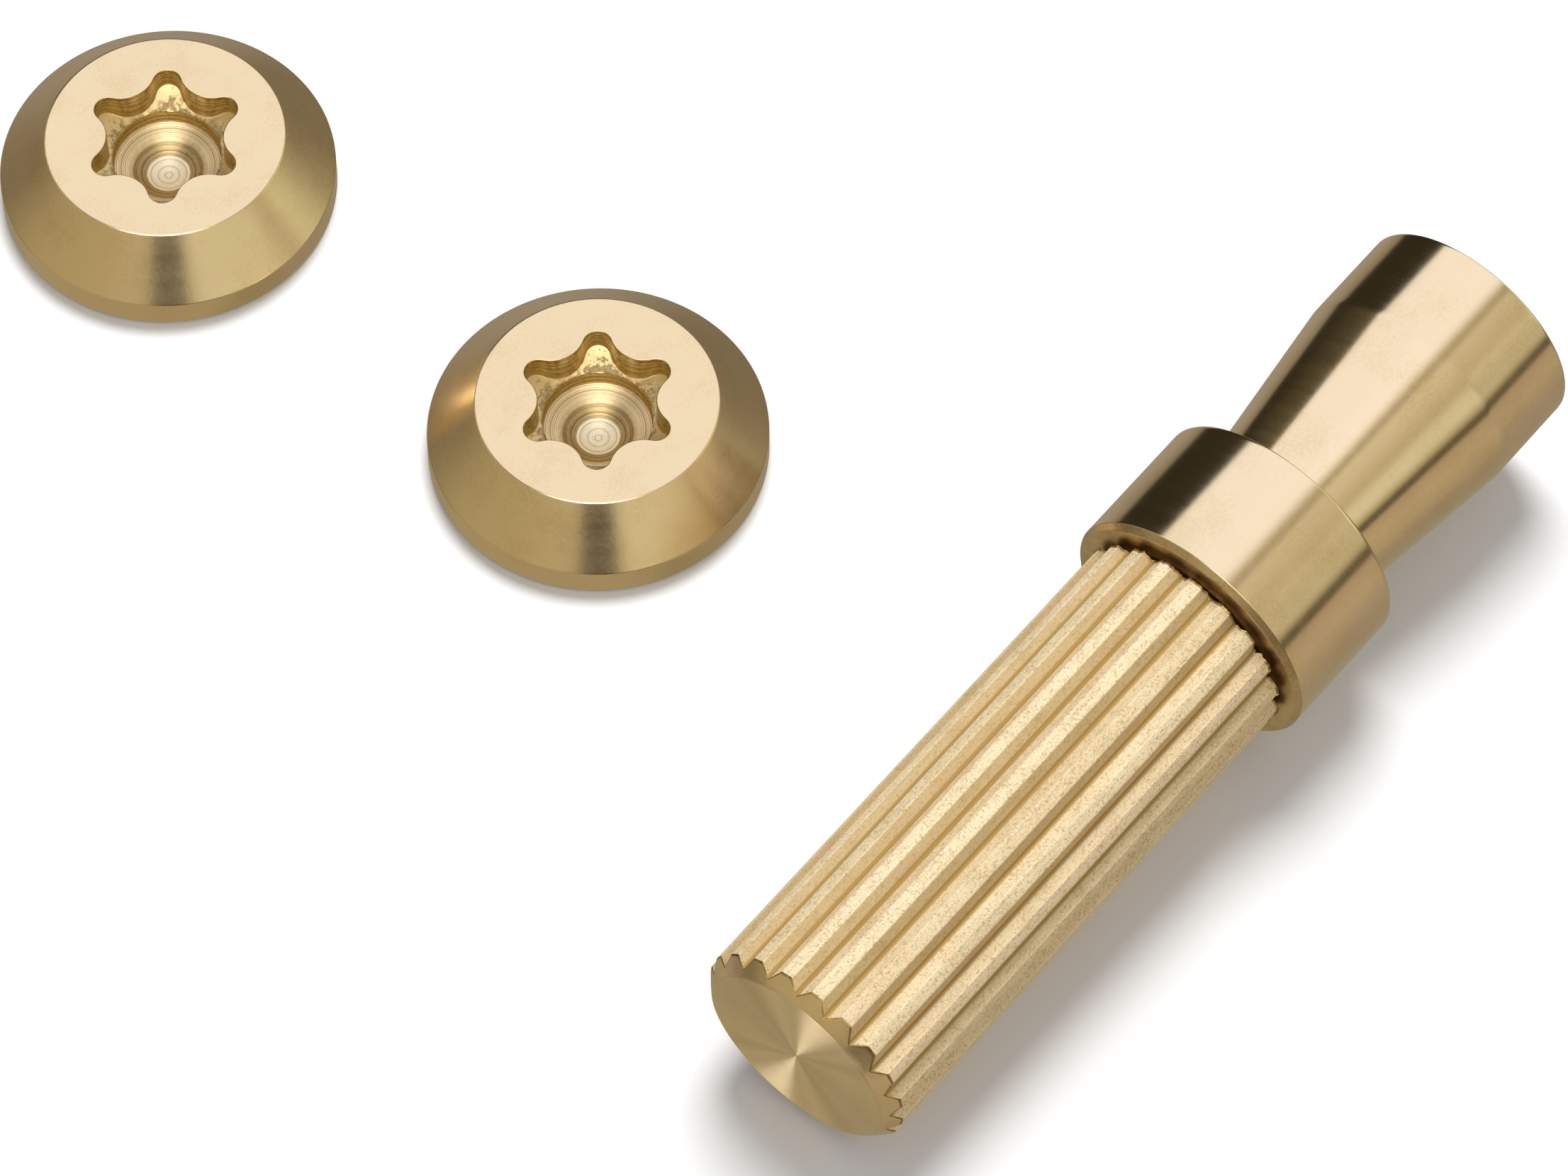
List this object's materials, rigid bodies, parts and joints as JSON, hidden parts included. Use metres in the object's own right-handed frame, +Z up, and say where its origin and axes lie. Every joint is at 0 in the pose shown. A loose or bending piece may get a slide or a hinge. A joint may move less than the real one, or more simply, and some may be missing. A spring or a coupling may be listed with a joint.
{
  "type": "rivet setter",
  "caption": "Turned brass hand tool with a fluted grip, collar and flared head, lying beside two low bevelled round caps with six-lobe recesses.",
  "frame": {"origin": "bottom centre of the whole set's bounding box, on the surface it lies on", "axes": "+X along the tool from the fluted grip to the flared head (the tool itself rises about 1.9 degrees), +Y from the tool towards the two caps, +Z up"},
  "size_m": [0.0368, 0.0522, 0.0097],
  "materials": {
    "fluted_brass": "satin, linear flutes with fine milling marks",
    "turned_brass": "fine turned, semi-gloss",
    "cap_brass": "fine turned, satin",
    "stud_steel": "plain machined"
  },
  "bodies": {
    "grip": {"fluted_grip": "fluted_brass", "tie_stud": "stud_steel"},
    "collar": {"collar": "turned_brass"},
    "head": {"flared_head": "turned_brass"},
    "cap_1": {"cap_1": "cap_brass"},
    "cap_2": {"cap_2": "cap_brass"}
  },
  "joints": [
    {"name": "collar_travel", "type": "slide", "parent": "grip", "child": "collar", "axis": [0.9994, 0, 0.0334], "range_m": [0, 0.0077]},
    {"name": "head_turn", "type": "hinge", "parent": "collar", "child": "head", "pos_m": [0.00967, -0.02131, 0.00502], "axis": [0.9994, 0, 0.0334], "range_deg": [0, 3962]},
    {"name": "cap_1_lift", "type": "slide", "parent": "grip", "child": "cap_1", "axis": [0, 0, 1], "range_m": [0, 0.012]},
    {"name": "cap_2_lift", "type": "slide", "parent": "grip", "child": "cap_2", "axis": [0, 0, 1], "range_m": [0, 0.012]}
  ],
  "couplings": [
    {"joint": "head_turn", "follows": "collar_travel", "rad_per_m": 8976}
  ]
}
